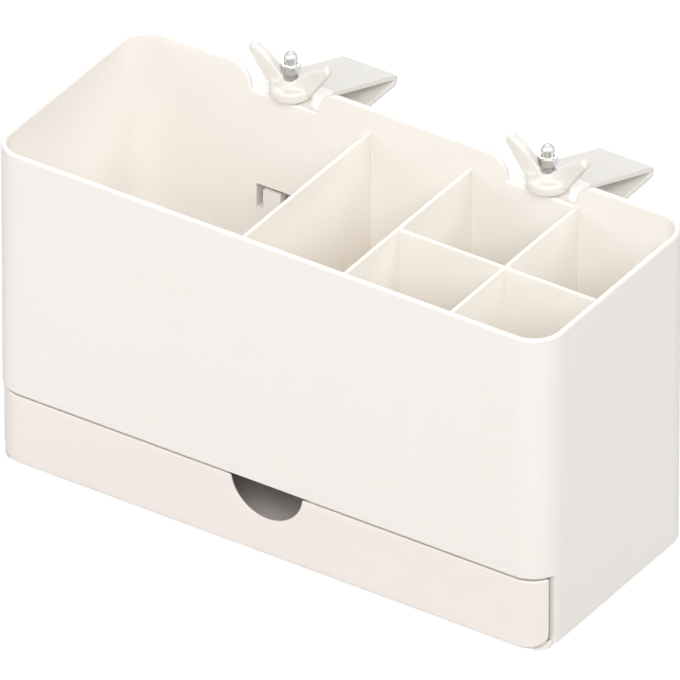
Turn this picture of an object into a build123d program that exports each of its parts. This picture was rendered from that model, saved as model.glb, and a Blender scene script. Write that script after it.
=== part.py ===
from build123d import *
from math import asin, atan2, cos, degrees, hypot, radians, sin, sqrt, tan
import os

# Desk-edge organizer box with a shallow drawer and two screw clamps, in millimetres.
# +X runs along the box, the drawer opens towards -Y, +Z is up, and z = 0 is the underside of the base plate.

# Box
BOX_LENGTH = 300.0          # outside, along X
BOX_DEPTH = 123.4           # outside, along Y
WALL_HEIGHT = 166.0         # rim down to the lower edge of the side walls
PLINTH = 2.4                # how far the base plate stands below the side walls
CORNER_RADIUS = 15.5        # outside corner in plan
WALL = 2.8
RIM_ROUND = 1.3             # rounding of the two edges of the rim
LOWER_EDGE_ROUND = 1.4      # rounding of the outer lower edge of the side walls
FLOOR = 2.4                 # compartment floor
FRONT_WALL_HEIGHT = 129.0   # rim down to the lower edge of the front wall
FLOOR_RISE = 1.2            # lower edge of the front wall up to the underside of the floor
FRONT_EDGE_ROUND = 0.8      # rounding of the front wall's outer lower edge

# Base plate, its screws and the posts they drive into
PLATE = 3.0
PLATE_FIT = 0.2             # round the plate, inside the walls
POST_DEPTH = 9.0            # along Y
POST_REACH = 8.8            # from the side wall inwards
POST_FRONT = 18.0           # front face of the box to the centre of the front posts
POST_REAR = 18.0            # rear face of the box to the centre of the rear posts
SCREW_RADIUS = 1.5
SCREW_LENGTH = 10.0         # under the head
SCREW_HEAD_RADIUS = 2.8
SCREW_HEAD = 1.6
SCREW_RECESS = 0.3          # head sits this far inside the plate
HEAD_FIT = 0.3
THREAD_FIT = 0.02           # radial, between a thread and the hole it is tight in
RUNNER_WIDTH = 5.0
RUNNER_HEIGHT = 1.4
RUNNER_SPACING = 150.0
RUNNER_MARGIN = 12.0        # runner ends inside the box's front and rear faces
PLATE_ROUND = 0.6
CROSS_LENGTH = 2.8
CROSS_WIDTH = 0.7
CROSS_DEPTH = 0.8
# Toes of the plate, which fill the corners below the drawer's rounded front
TOE_GAP = 0.8               # below the drawer front
TOE_EDGE = 0.1              # from the lowest point of the corner's curve up to the toe
TOE_HEIGHT = 3.6

# Drawer
DRAWER_INSET = 1.2          # drawer front inside the box's outline
DRAWER_FRONT_WALL = 1.8
DRAWER_WALL = 2.0
DRAWER_FLOOR = 2.0
DRAWER_WRAP = 9.0           # how far the front curls round the box's corners
DRAWER_DROP = 1.2           # drawer front's lower edge above the ground
DRAWER_CORNER = 6.5         # lower corners of the front, seen from the front
TRAY_HEADROOM = 6.9         # tray's rim to the underside of the compartment floor
DRAWER_EDGE_ROUND = 0.6     # upper edge of the front
DRAWER_FOOT_ROUND = 1.5     # lower edge of the front
TRAY_CORNER = 6.0
GAP = 1.9                   # visible gap above the drawer front
END_GAP = 1.9               # from the ends of the drawer front to the side walls
SLIDE_GAP = 0.3             # drawer to what carries and guides it
SIDE_GAP = 0.8              # tray to the posts beside it
BACK_GAP = 1.5              # tray to the rear wall
PULL_RADIUS = 19.5          # half-moon finger pull
PULL_RISE = 2.4             # its centre above the front's upper edge
PULL_EDGE = 0.9             # thickness left round it
PULL_RECESS = 2.0           # width of the thinner band round it
PULL_ROUND = 0.5

# Dividers
DIVIDER = 2.0
DIVIDER_DROP = 12.4         # rim down to the dividers' upper edges
DIVIDER_ROUND = 0.8
DIVIDER_FIT = 0.05
LEFT_DIVIDER_X = -23.2
MIDDLE_DIVIDER_X = 31.4
RIGHT_DIVIDER_X = 88.7
LONG_DIVIDER_Y = 0.0
TAB_LENGTH = 12.0
TAB_SPACING = 70.0
LONG_TAB_SPACING = 60.0
TAB_FIT = 0.1

# Notches in the rear wall, one for each clamp
CLAMP_SPACING = 139.0
NOTCH_WIDTH = 36.4          # between its upright sides
NOTCH_SHOULDER = 11.0       # radius of the shoulders
NOTCH_SIDE = 0.1            # straight stretch below each shoulder
NOTCH_FOOT = 1.5            # radius at the bottom corners

# Clamp bracket: spine behind the rear wall, strip folded into the upper jaw
SPINE_WIDTH = 36.0
SPINE_FOOT = 6.0            # depth of the wide part behind the rear wall
SPINE_DEPTH = 10.8          # depth of the narrower part behind the rear wall
SPINE_CORNER = 3.0
SPINE_RUN = 2.3             # its lower end below the slider when the clamp is open
SPINE_RECESS = 1.0          # pocket for it in the rear wall
SPINE_FIT = 0.1
WEB = 1.2                   # spine wall that lies in the pocket
FLANGE = 2.5
LIP = 2.0                   # thickness of the two lips that hold the slider in
LIP_HOLD = 4.1              # how far each lip reaches over the slider
STRIP_WIDTH = 29.0
STRIP = 2.7                 # thickness
STRIP_BEND = 17.0           # behind the rear wall
JAW_REACH = 69.3            # fold behind the rear wall
JAW_DROP = 37.3             # rim down to the upper jaw's underside
FOLD_RADIUS = 3.3
STRIP_EDGE_ROUND = 0.5

# Snap fingers of the rear wall, which hook into the spine
WINDOW_WIDTH = 30.0
WINDOW_HEIGHT = 13.0
WINDOW_DROP = 62.0          # rim down to the window
FINGER_GAP = 3.7            # window side to finger
FINGER_SPLIT = 3.8          # between the two fingers
FINGER_TOP_GAP = 2.2
BARB_HEIGHT = 3.6
BARB_DEPTH = 1.1
CATCH_GAP = 0.2             # barb to the ledge that it hooks over
WINDOW_MARGIN = 0.2         # opening in the spine, round the window
WINDOW_POCKET = 5.0         # depth of the hollow in the spine behind the window

# Screw
STUD_SETBACK = 3.0          # stud axis behind the rear wall
STUD_RADIUS = 2.5
STUD_CLEARANCE = 0.3        # radial, in the bracket
RUN_FIT = 0.05              # radial, in the nut
WASHER_RADIUS = 6.0
WASHER = 1.0
TURN_GAP = 0.15             # between faces that turn on each other
HEAD_WIDTH = 12.0           # hammer head, along X
HEAD_DEPTH = 5.0            # along Y
HEAD_HEIGHT = 3.5
POCKET_FIT = 0.1
SEAT_FIT = 0.3              # end of the screw to the bottom of the cap nut's bore

# Wing nut, its metal insert and the cap nut
DISC_RADIUS = 10.0
DISC = 5.6
DISC_ROUND = 1.2
HUB_RADIUS = 5.4
HUB_HEIGHT = 8.6            # disc underside to the top of the plastic hub
WING = 4.8                  # thickness
WING_TIP_RADIUS = 2.4       # of the tip's two corners
WING_EDGE_ROUND = 1.2
# Outline of a wing: distances from the axis, heights from the disc's underside
WING_ROOT_IN = 2.5
WING_ROOT_TOP = 10.3
WING_TOP_REACH = 19.6
WING_TOP_HEIGHT = 22.9
WING_TIP_REACH = 22.0
WING_TIP_HEIGHT = 18.6
WING_ROOT_OUT = 12.2
WING_FOOT_TOP = 4.4
WING_FOOT_REACH = 9.6
WING_FOOT = 1.5
INSERT_FLATS = 8.0
INSERT_RADIUS = 3.4         # collar that stands out of the hub
INSERT_FOOT = 1.2           # plastic left under the insert
INSERT_HEX = 5.0
INSERT_TOP = 12.2           # disc underside to the top of the collar
CAP_FLATS = 8.0
CAP_HEX = 4.0
CAP_CORNER = 0.6            # turned off the corners of the hexagon, along a radius
CAP_CORNER_SLOPE = 30.0     # degrees
CAP_HEIGHT = 10.0
CAP_DOME_RADIUS = 3.0
CAP_THREAD = 7.5            # depth of its bore

# Lower jaw and pads
OPENING_MAX = 35.0          # between the pads
OPENING_MIN = 10.0
PAD = 1.5
PAD_WIDTH = 24.0
PAD_LENGTH = 30.0
PAD_START = 14.5            # behind the rear wall
PAD_ROUND = 2.0
SLIDER_HEIGHT = 20.0
SLIDER_GAP = 0.3
LOWER_REACH = 60.0          # end of the lower jaw behind the rear wall
LOWER_PLATE = 4.0
LOWER_ROOT = 2.6            # upright plate at the jaw's root
LOWER_END_RADIUS = 5.0
RIB = 2.4
RIB_SPACING = 20.0
RIB_END = 1.5               # height of the ribs at the jaw's end
END_MARGIN = 0.6            # slot above the slider at full travel


# ---------------------------------------------------------------- worked out
rim_z = PLINTH + WALL_HEIGHT
front_y = -BOX_DEPTH / 2
rear_y = BOX_DEPTH / 2
inner_length = BOX_LENGTH - 2 * WALL
inner_depth = BOX_DEPTH - 2 * WALL
inner_radius = CORNER_RADIUS - WALL
front_edge_z = rim_z - FRONT_WALL_HEIGHT
floor_bottom = front_edge_z + FLOOR_RISE
floor_top = floor_bottom + FLOOR

drawer_inner_inset = DRAWER_INSET + DRAWER_FRONT_WALL
drawer_top = front_edge_z - GAP
parting_y = front_y + DRAWER_WRAP
tray_width = inner_length - 2 * (POST_REACH + SIDE_GAP)
tray_bottom = PLATE + RUNNER_HEIGHT + SLIDE_GAP
tray_top = floor_bottom - TRAY_HEADROOM
tray_rear = rear_y - WALL - BACK_GAP
plate_inset = max(WALL + PLATE_FIT, drawer_inner_inset + SLIDE_GAP)
post_x = inner_length / 2 - POST_REACH / 2
post_places = [(sx * post_x, y) for sx in (-1, 1) for y in (front_y + POST_FRONT, rear_y - POST_REAR)]

drawer_radius = CORNER_RADIUS - DRAWER_INSET
wrap_rise = max(CORNER_RADIUS - DRAWER_WRAP, 0)
wrap_x = BOX_LENGTH / 2 - CORNER_RADIUS + sqrt(drawer_radius**2 - wrap_rise**2)
corner_x = wrap_x - DRAWER_CORNER
corner_z = DRAWER_DROP + DRAWER_CORNER
corner_reach = DRAWER_CORNER * sqrt(0.5)
toe_radius = DRAWER_CORNER + TOE_GAP
toe_foot = corner_z - toe_radius + TOE_EDGE
toe_top = toe_foot + TOE_HEIGHT
toe_turns = [asin((corner_z - z) / toe_radius) for z in (toe_foot, toe_top)]
toe_turns.insert(1, sum(toe_turns) / 2)
toe_arc = [(corner_x + toe_radius * cos(turn), corner_z - toe_radius * sin(turn)) for turn in toe_turns]
toe_outside = [toe_arc[-1], (BOX_LENGTH / 2, toe_top), (BOX_LENGTH / 2, toe_foot), toe_arc[0]]

divider_top = rim_z - DIVIDER_DROP
divider_places = {"left": LEFT_DIVIDER_X, "middle": MIDDLE_DIVIDER_X, "right": RIGHT_DIVIDER_X}
long_start = MIDDLE_DIVIDER_X + DIVIDER / 2 + DIVIDER_FIT
long_end = inner_length / 2 - DIVIDER_FIT
long_middle = (long_start + long_end) / 2
lap_z = (floor_top + divider_top) / 2

notch_bottom = rim_z - NOTCH_SHOULDER - NOTCH_SIDE - NOTCH_FOOT
spine_top = notch_bottom
spine_front = -SPINE_RECESS + SPINE_FIT
web_back = spine_front + WEB
lip_front = SPINE_DEPTH - LIP
channel_half = STRIP_WIDTH / 2 - FLANGE
slot_half = channel_half - LIP_HOLD
jaw_z = rim_z - JAW_DROP
window_top = rim_z - WINDOW_DROP
window_bottom = window_top - WINDOW_HEIGHT
finger_width = (WINDOW_WIDTH - 2 * FINGER_GAP - FINGER_SPLIT) / 2
finger_x = (FINGER_SPLIT + finger_width) / 2
finger_top = window_top - FINGER_TOP_GAP
barb_z = finger_top - BARB_HEIGHT

stud_y = rear_y + STUD_SETBACK
nut_z = spine_top + WASHER + TURN_GAP
cap_z = nut_z + INSERT_TOP + TURN_GAP
travel = OPENING_MAX - OPENING_MIN
plate_top = jaw_z - PAD - OPENING_MAX - PAD
slider_bottom = plate_top - SLIDER_HEIGHT
spine_bottom = slider_bottom - SPINE_RUN
spine_height = spine_top - spine_bottom
lower_start = SPINE_DEPTH + SLIDER_GAP
PAST = 1.0                  # cuts run this far past the face they leave


def level(x, y, z):
    """A horizontal sketch plane, with its origin at this point."""
    return Plane(origin=(x, y, z))


def upright(x, y):
    """A sketch plane along X and Z that faces the front; extruding goes towards -Y."""
    return Plane(origin=(x, y, 0), x_dir=(1, 0, 0), z_dir=(0, -1, 0))


def sideways(x, y):
    """A sketch plane along Y and Z that faces +X."""
    return Plane(origin=(x, y, 0), x_dir=(0, 1, 0), z_dir=(1, 0, 0))


def save(part, name):
    part.label = name
    export_step(part, f"parts/{name}.step")
    print(name, round(part.volume))


# ---------------------------------------------------------------- box
half = NOTCH_WIDTH / 2
shoulder = half + NOTCH_SHOULDER
foot = half - NOTCH_FOOT
shoulder_z = rim_z - NOTCH_SHOULDER
foot_z = notch_bottom + NOTCH_FOOT
clamp_places = {"left": -CLAMP_SPACING / 2, "right": CLAMP_SPACING / 2}

with BuildPart() as box_shell:
    with BuildSketch(Plane.XY.offset(PLINTH)):
        RectangleRounded(BOX_LENGTH, BOX_DEPTH, CORNER_RADIUS)
    extrude(amount=WALL_HEIGHT)
    fillet(box_shell.edges().group_by(Axis.Z)[0], LOWER_EDGE_ROUND)
    with BuildSketch(Plane.XY.offset(floor_top)):
        RectangleRounded(inner_length, inner_depth, inner_radius)
    extrude(amount=rim_z - floor_top, mode=Mode.SUBTRACT)
    # notches in the rear wall, each drawn from shoulder to shoulder and closed above the rim
    for clamp_x in clamp_places.values():
        with BuildSketch(upright(clamp_x, rear_y + PAST)):
            with BuildLine():
                CenterArc((shoulder, shoulder_z), NOTCH_SHOULDER, 90, 90)
                Line((half, shoulder_z), (half, foot_z))
                CenterArc((foot, foot_z), NOTCH_FOOT, 0, -90)
                Line((foot, notch_bottom), (-foot, notch_bottom))
                CenterArc((-foot, foot_z), NOTCH_FOOT, -90, -90)
                Line((-half, foot_z), (-half, shoulder_z))
                CenterArc((-shoulder, shoulder_z), NOTCH_SHOULDER, 0, 90)
                over = rim_z + PAST
                Polyline((-shoulder, rim_z), (-shoulder, over), (shoulder, over), (shoulder, rim_z))
            make_face()
        extrude(amount=WALL + 2 * PAST, mode=Mode.SUBTRACT)
    across_wall = box_shell.edges().filter_by(Axis.Y).filter_by(lambda e: e.length < WALL + PAST)
    rim = box_shell.edges().filter_by_position(Axis.Z, notch_bottom - PAST, rim_z + PAST)
    fillet([e for e in rim if e not in across_wall], RIM_ROUND)
    # bay for the drawer, open at the front up to the lower edge of the front wall
    with BuildSketch(Plane.XY.offset(PLINTH - PAST)):
        RectangleRounded(inner_length, inner_depth, inner_radius)
    extrude(amount=floor_bottom - PLINTH + PAST, mode=Mode.SUBTRACT)
    with BuildSketch(Plane.XY.offset(PLINTH - PAST)):
        with Locations((0, front_y)):
            Rectangle(BOX_LENGTH + 2 * PAST, 2 * (DRAWER_WRAP + END_GAP))
    extrude(amount=front_edge_z - PLINTH + PAST, mode=Mode.SUBTRACT)
    front_face = box_shell.faces().sort_by(Axis.Y)[0]
    fillet(front_face.edges().sort_by(Axis.Z)[0], FRONT_EDGE_ROUND)
    # posts for the screws of the base plate
    with BuildSketch(Plane.XY.offset(PLATE)):
        with Locations(*post_places):
            Rectangle(POST_REACH + WALL / 2, POST_DEPTH)
    extrude(amount=floor_top - PLATE)
    with BuildSketch(Plane.XY.offset(PLATE)):
        with Locations(*post_places):
            Circle(SCREW_RADIUS + THREAD_FIT)
    extrude(amount=SCREW_LENGTH, mode=Mode.SUBTRACT)
    # slots in the floor for the dividers' tabs
    with BuildSketch(Plane.XY.offset(floor_bottom - PAST)):
        for divider_x in divider_places.values():
            with Locations((divider_x, LONG_DIVIDER_Y)):
                with GridLocations(0, TAB_SPACING, 1, 2):
                    Rectangle(DIVIDER + 2 * TAB_FIT, TAB_LENGTH + 2 * TAB_FIT)
        with Locations((long_middle, LONG_DIVIDER_Y)):
            with GridLocations(LONG_TAB_SPACING, 0, 2, 1):
                Rectangle(TAB_LENGTH + 2 * TAB_FIT, DIVIDER + 2 * TAB_FIT)
    extrude(amount=FLOOR + 2 * PAST, mode=Mode.SUBTRACT)
    for clamp_x in clamp_places.values():
        # window with its two snap fingers
        with BuildSketch(upright(clamp_x, rear_y + PAST)):
            with Locations((0, window_bottom)):
                Rectangle(WINDOW_WIDTH, WINDOW_HEIGHT, align=(Align.CENTER, Align.MIN))
            with Locations((-finger_x, window_bottom), (finger_x, window_bottom)):
                finger_size = (finger_width, finger_top - window_bottom)
                Rectangle(*finger_size, align=(Align.CENTER, Align.MIN), mode=Mode.SUBTRACT)
        extrude(amount=WALL + 2 * PAST, mode=Mode.SUBTRACT)
        # shallow pocket that locates the spine of the bracket
        with BuildSketch(upright(clamp_x, rear_y + PAST)):
            with Locations((0, spine_bottom - SPINE_FIT)):
                pocket_size = (SPINE_WIDTH + 2 * SPINE_FIT, spine_height + SPINE_FIT + PAST)
                Rectangle(*pocket_size, align=(Align.CENTER, Align.MIN))
        extrude(amount=SPINE_RECESS + PAST, mode=Mode.SUBTRACT)
        # barbs at the fingers' tips
        for side in (-1, 1):
            with BuildSketch(sideways(clamp_x + side * finger_x, rear_y - SPINE_RECESS)):
                Polygon((0, barb_z), (BARB_DEPTH, barb_z), (0, finger_top), align=None)
            extrude(amount=finger_width / 2, both=True)

os.makedirs("parts", exist_ok=True)
save(box_shell.part, "box_shell")

with BuildPart() as toes:
    toe_rear = parting_y + END_GAP - SLIDE_GAP
    with BuildSketch(Plane.XY.offset(toe_foot)):
        RectangleRounded(BOX_LENGTH - 2 * DRAWER_INSET, BOX_DEPTH - 2 * DRAWER_INSET, drawer_radius)
        with Locations((0, toe_rear)):
            Rectangle(BOX_LENGTH, BOX_DEPTH, align=(Align.CENTER, Align.MIN), mode=Mode.SUBTRACT)
    extrude(amount=TOE_HEIGHT)
    # what lies outside the rounded corners, seen from the front
    with BuildSketch(upright(0, toe_rear + PAST)):
        for side in (-1, 1):
            with BuildLine():
                ThreePointArc(*((side * x, z) for x, z in toe_arc))
                Polyline(*((side * x, z) for x, z in toe_outside))
            make_face()
    extrude(amount=DRAWER_WRAP + END_GAP + 2 * PAST, mode=Mode.INTERSECT)

with BuildPart() as base_plate:
    with BuildSketch():
        plate_size = (BOX_LENGTH - 2 * plate_inset, BOX_DEPTH - 2 * plate_inset)
        RectangleRounded(*plate_size, CORNER_RADIUS - plate_inset)
    extrude(amount=PLATE)
    fillet(base_plate.edges().group_by(Axis.Z)[0], PLATE_ROUND)
    with BuildSketch(Plane.XY.offset(PLATE)):
        with GridLocations(RUNNER_SPACING, 0, 2, 1):
            Rectangle(RUNNER_WIDTH, BOX_DEPTH - 2 * RUNNER_MARGIN)
    extrude(amount=RUNNER_HEIGHT)
    with BuildSketch():
        with Locations(*post_places):
            Circle(SCREW_HEAD_RADIUS + HEAD_FIT)
    extrude(amount=SCREW_HEAD + SCREW_RECESS, mode=Mode.SUBTRACT)
    with BuildSketch():
        with Locations(*post_places):
            Circle(SCREW_RADIUS + HEAD_FIT)
    extrude(amount=PLATE, mode=Mode.SUBTRACT)
    add(toes.part)
save(base_plate.part, "base_plate")

with BuildPart() as base_screws:
    with BuildSketch(Plane.XY.offset(SCREW_RECESS)):
        with Locations(*post_places):
            Circle(SCREW_HEAD_RADIUS)
    extrude(amount=SCREW_HEAD)
    with BuildSketch(Plane.XY.offset(SCREW_RECESS)):
        with Locations(*post_places):
            Circle(SCREW_RADIUS)
    extrude(amount=SCREW_HEAD + SCREW_LENGTH)
    # cross recess in each head
    with BuildSketch(Plane.XY.offset(SCREW_RECESS)):
        with Locations(*post_places):
            Rectangle(CROSS_LENGTH, CROSS_WIDTH)
            Rectangle(CROSS_WIDTH, CROSS_LENGTH)
    extrude(amount=CROSS_DEPTH, mode=Mode.SUBTRACT)
save(base_screws.part, "base_screws")

# ---------------------------------------------------------------- dividers
for place, divider_x in divider_places.items():
    with BuildPart() as cross_divider:
        with BuildSketch(Plane.XY.offset(floor_top)):
            with Locations((divider_x, 0)):
                Rectangle(DIVIDER, inner_depth - 2 * DIVIDER_FIT)
        extrude(amount=divider_top - floor_top)
        fillet(cross_divider.edges().group_by(Axis.Z)[-1].filter_by(Axis.Y), DIVIDER_ROUND)
        with BuildSketch(Plane.XY.offset(floor_bottom)):
            with Locations((divider_x, LONG_DIVIDER_Y)):
                with GridLocations(0, TAB_SPACING, 1, 2):
                    Rectangle(DIVIDER, TAB_LENGTH)
        extrude(amount=FLOOR)
        if place == "right":
            # half lap, open at the top, for the long divider
            with BuildSketch(Plane.XY.offset(lap_z)):
                with Locations((divider_x, LONG_DIVIDER_Y)):
                    Rectangle(DIVIDER + 2 * PAST, DIVIDER + 2 * DIVIDER_FIT)
            extrude(amount=divider_top - lap_z, mode=Mode.SUBTRACT)
    save(cross_divider.part, f"cross_divider_{place}")

with BuildPart() as long_divider:
    with BuildSketch(Plane.XY.offset(floor_top)):
        with Locations((long_middle, LONG_DIVIDER_Y)):
            Rectangle(long_end - long_start, DIVIDER)
    extrude(amount=divider_top - floor_top)
    fillet(long_divider.edges().group_by(Axis.Z)[-1].filter_by(Axis.X), DIVIDER_ROUND)
    with BuildSketch(Plane.XY.offset(floor_bottom)):
        with Locations((long_middle, LONG_DIVIDER_Y)):
            with GridLocations(LONG_TAB_SPACING, 0, 2, 1):
                Rectangle(TAB_LENGTH, DIVIDER)
    extrude(amount=FLOOR)
    # half lap, open at the bottom, over the right cross divider
    with BuildSketch(Plane.XY.offset(floor_top)):
        with Locations((RIGHT_DIVIDER_X, LONG_DIVIDER_Y)):
            Rectangle(DIVIDER + 2 * DIVIDER_FIT, DIVIDER + 2 * PAST)
    extrude(amount=lap_z - floor_top + DIVIDER_FIT, mode=Mode.SUBTRACT)
save(long_divider.part, "long_divider")

# ---------------------------------------------------------------- drawer
pull_z = drawer_top + PULL_RISE

with BuildPart() as drawer:
    with BuildSketch(Plane.XY.offset(DRAWER_DROP)):
        RectangleRounded(BOX_LENGTH - 2 * DRAWER_INSET, BOX_DEPTH - 2 * DRAWER_INSET, drawer_radius)
        inner_size = (BOX_LENGTH - 2 * drawer_inner_inset, BOX_DEPTH - 2 * drawer_inner_inset)
        RectangleRounded(*inner_size, CORNER_RADIUS - drawer_inner_inset, mode=Mode.SUBTRACT)
        with Locations((0, parting_y)):
            Rectangle(BOX_LENGTH, BOX_DEPTH, align=(Align.CENTER, Align.MIN), mode=Mode.SUBTRACT)
    extrude(amount=drawer_top - DRAWER_DROP)
    # lower corners, rounded in the view from the front
    for side in (-1, 1):
        with BuildSketch(upright(0, parting_y + PAST)):
            with BuildLine():
                ThreePointArc(
                    (side * corner_x, DRAWER_DROP),
                    (side * (corner_x + corner_reach), corner_z - corner_reach),
                    (side * wrap_x, corner_z),
                )
                Polyline(
                    (side * wrap_x, corner_z),
                    (side * BOX_LENGTH / 2, corner_z),
                    (side * BOX_LENGTH / 2, DRAWER_DROP - PAST),
                    (side * corner_x, DRAWER_DROP - PAST),
                    (side * corner_x, DRAWER_DROP),
                )
            make_face()
        extrude(amount=CORNER_RADIUS + 2 * PAST, mode=Mode.SUBTRACT)
    front_face = drawer.faces().sort_by(Axis.Y)[0]
    fillet(front_face.edges().sort_by(Axis.Z)[0], DRAWER_FOOT_ROUND)
    front_face = drawer.faces().sort_by(Axis.Y)[0]
    fillet(front_face.edges().sort_by(Axis.Z)[-1], DRAWER_EDGE_ROUND)
    # tray behind the front
    with BuildSketch(Plane.XY.offset(tray_bottom)):
        with Locations((0, front_y + drawer_inner_inset)):
            tray_size = (tray_width, tray_rear - front_y - drawer_inner_inset)
            Rectangle(*tray_size, align=(Align.CENTER, Align.MIN))
    extrude(amount=tray_top - tray_bottom)
    upright_edges = drawer.edges().filter_by(Axis.Z)
    fillet(upright_edges.filter_by_position(Axis.Y, tray_rear - PAST, tray_rear + PAST), TRAY_CORNER)
    with BuildSketch(Plane.XY.offset(tray_bottom + DRAWER_FLOOR)):
        with Locations((0, front_y + drawer_inner_inset)):
            hollow = (tray_width - 2 * DRAWER_WALL, tray_rear - DRAWER_WALL - front_y - drawer_inner_inset)
            Rectangle(*hollow, align=(Align.CENTER, Align.MIN))
        fillet(vertices().group_by(Axis.Y)[-1], TRAY_CORNER - DRAWER_WALL)
    extrude(amount=tray_top - tray_bottom, mode=Mode.SUBTRACT)
    # half-moon finger pull, in a thinner band of the wall
    with BuildSketch(upright(0, front_y + drawer_inner_inset)):
        with Locations((0, pull_z)):
            Circle(PULL_RADIUS + PULL_RECESS)
    extrude(amount=DRAWER_FRONT_WALL - PULL_EDGE, mode=Mode.SUBTRACT)
    with BuildSketch(upright(0, front_y + drawer_inner_inset + PAST)):
        with Locations((0, pull_z)):
            Circle(PULL_RADIUS)
    extrude(amount=drawer_inner_inset + 2 * PAST, mode=Mode.SUBTRACT)
    pull_edges = drawer.edges().filter_by(GeomType.CIRCLE).filter_by(lambda e: e.radius == PULL_RADIUS)
    fillet(pull_edges.sort_by(Axis.Y)[0], PULL_ROUND)
save(drawer.part, "drawer")

# ---------------------------------------------------------------- clamps
# outline of the folded strip, along Y from the rear wall and along Z
fold_y = JAW_REACH - FOLD_RADIUS
fold_z = jaw_z + FOLD_RADIUS
slope_length = hypot(fold_y - STRIP_BEND, spine_top - fold_z)
slope = atan2(spine_top - fold_z, fold_y - STRIP_BEND) - asin(FOLD_RADIUS / slope_length)
slope_degrees = degrees(slope)
inner_fold = FOLD_RADIUS - STRIP
tangent = (fold_y + FOLD_RADIUS * sin(slope), fold_z + FOLD_RADIUS * cos(slope))
inner_tangent = (fold_y + inner_fold * sin(slope), fold_z + inner_fold * cos(slope))
inner_bend = (STRIP_BEND - STRIP * tan(slope / 2), spine_top - STRIP)


def clamp_bracket(x):
    """Spine, snap catches and folded upper jaw, moulded in one piece."""
    with BuildPart() as bracket:
        with BuildSketch(level(x, rear_y, spine_bottom)):
            with Locations((0, spine_front)):
                Rectangle(SPINE_WIDTH, SPINE_FOOT - spine_front, align=(Align.CENTER, Align.MIN))
            fillet(vertices().group_by(Axis.Y)[-1], SPINE_CORNER)
            with Locations((0, spine_front)):
                Rectangle(STRIP_WIDTH, SPINE_DEPTH - spine_front, align=(Align.CENTER, Align.MIN))
        extrude(amount=spine_height)
        with BuildSketch(sideways(x, rear_y)):
            with BuildLine():
                Polyline((SPINE_FOOT, jaw_z), (SPINE_FOOT, spine_top), (STRIP_BEND, spine_top), tangent)
                CenterArc((fold_y, fold_z), FOLD_RADIUS, 90 - slope_degrees, slope_degrees - 180)
                Line((fold_y, jaw_z), (SPINE_FOOT, jaw_z))
            make_face()
        extrude(amount=STRIP_WIDTH / 2, both=True)
        # the open wedge between the two legs
        with BuildSketch(sideways(x, rear_y)):
            with BuildLine():
                Line((SPINE_DEPTH, jaw_z + STRIP), (SPINE_DEPTH, spine_top - STRIP))
                Polyline((SPINE_DEPTH, spine_top - STRIP), inner_bend, inner_tangent)
                CenterArc((fold_y, fold_z), inner_fold, 90 - slope_degrees, slope_degrees - 180)
                Line((fold_y, jaw_z + STRIP), (SPINE_DEPTH, jaw_z + STRIP))
            make_face()
        extrude(amount=STRIP_WIDTH / 2 + PAST, both=True, mode=Mode.SUBTRACT)
        sides = bracket.faces().filter_by(Axis.X).filter_by(lambda f: f.center().Y > rear_y + SPINE_DEPTH)
        strip_range = (rear_y + SPINE_DEPTH + PAST, rear_y + JAW_REACH)
        fillet(sides.edges().filter_by_position(Axis.Y, *strip_range), STRIP_EDGE_ROUND)
        # channel for the slider, and the slot between its lips
        with BuildSketch(level(x, rear_y, spine_bottom)):
            with Locations((0, web_back)):
                Rectangle(2 * channel_half, lip_front - web_back, align=(Align.CENTER, Align.MIN))
        extrude(amount=spine_height - STRIP, mode=Mode.SUBTRACT)
        with BuildSketch(level(x, rear_y, spine_bottom)):
            with Locations((0, lip_front - PAST)):
                Rectangle(2 * slot_half, LIP + 2 * PAST, align=(Align.CENTER, Align.MIN))
        extrude(amount=plate_top + travel + END_MARGIN - spine_bottom, mode=Mode.SUBTRACT)
        with BuildSketch(level(x, stud_y, spine_top)):
            Circle(STUD_RADIUS + STUD_CLEARANCE)
        extrude(amount=-STRIP - PAST, mode=Mode.SUBTRACT)
        # hollow behind the window, less the two ledges that the fingers hook over
        with BuildSketch(upright(x, rear_y + WINDOW_POCKET)):
            with Locations((0, window_bottom - WINDOW_MARGIN)):
                hollow_size = (WINDOW_WIDTH + 2 * WINDOW_MARGIN, WINDOW_HEIGHT + 2 * WINDOW_MARGIN)
                Rectangle(*hollow_size, align=(Align.CENTER, Align.MIN))
        extrude(amount=WINDOW_POCKET + SPINE_RECESS, mode=Mode.SUBTRACT)
        with BuildSketch(upright(x, rear_y + web_back)):
            with Locations((-finger_x, window_bottom - PAST), (finger_x, window_bottom - PAST)):
                ledge_size = (finger_width, barb_z - CATCH_GAP - window_bottom + PAST)
                Rectangle(*ledge_size, align=(Align.CENTER, Align.MIN))
        extrude(amount=WEB)
    return bracket.part


def flat_pad(x, z):
    """Rubber pad of one jaw."""
    with BuildPart() as pad:
        with BuildSketch(level(x, rear_y + PAD_START + PAD_LENGTH / 2, z)):
            RectangleRounded(PAD_WIDTH, PAD_LENGTH, PAD_ROUND)
        extrude(amount=PAD)
    return pad.part


def washer(x):
    with BuildPart() as ring:
        with BuildSketch(level(x, stud_y, spine_top)):
            Circle(WASHER_RADIUS)
            Circle(STUD_RADIUS + STUD_CLEARANCE, mode=Mode.SUBTRACT)
        extrude(amount=WASHER)
    return ring.part


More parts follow.
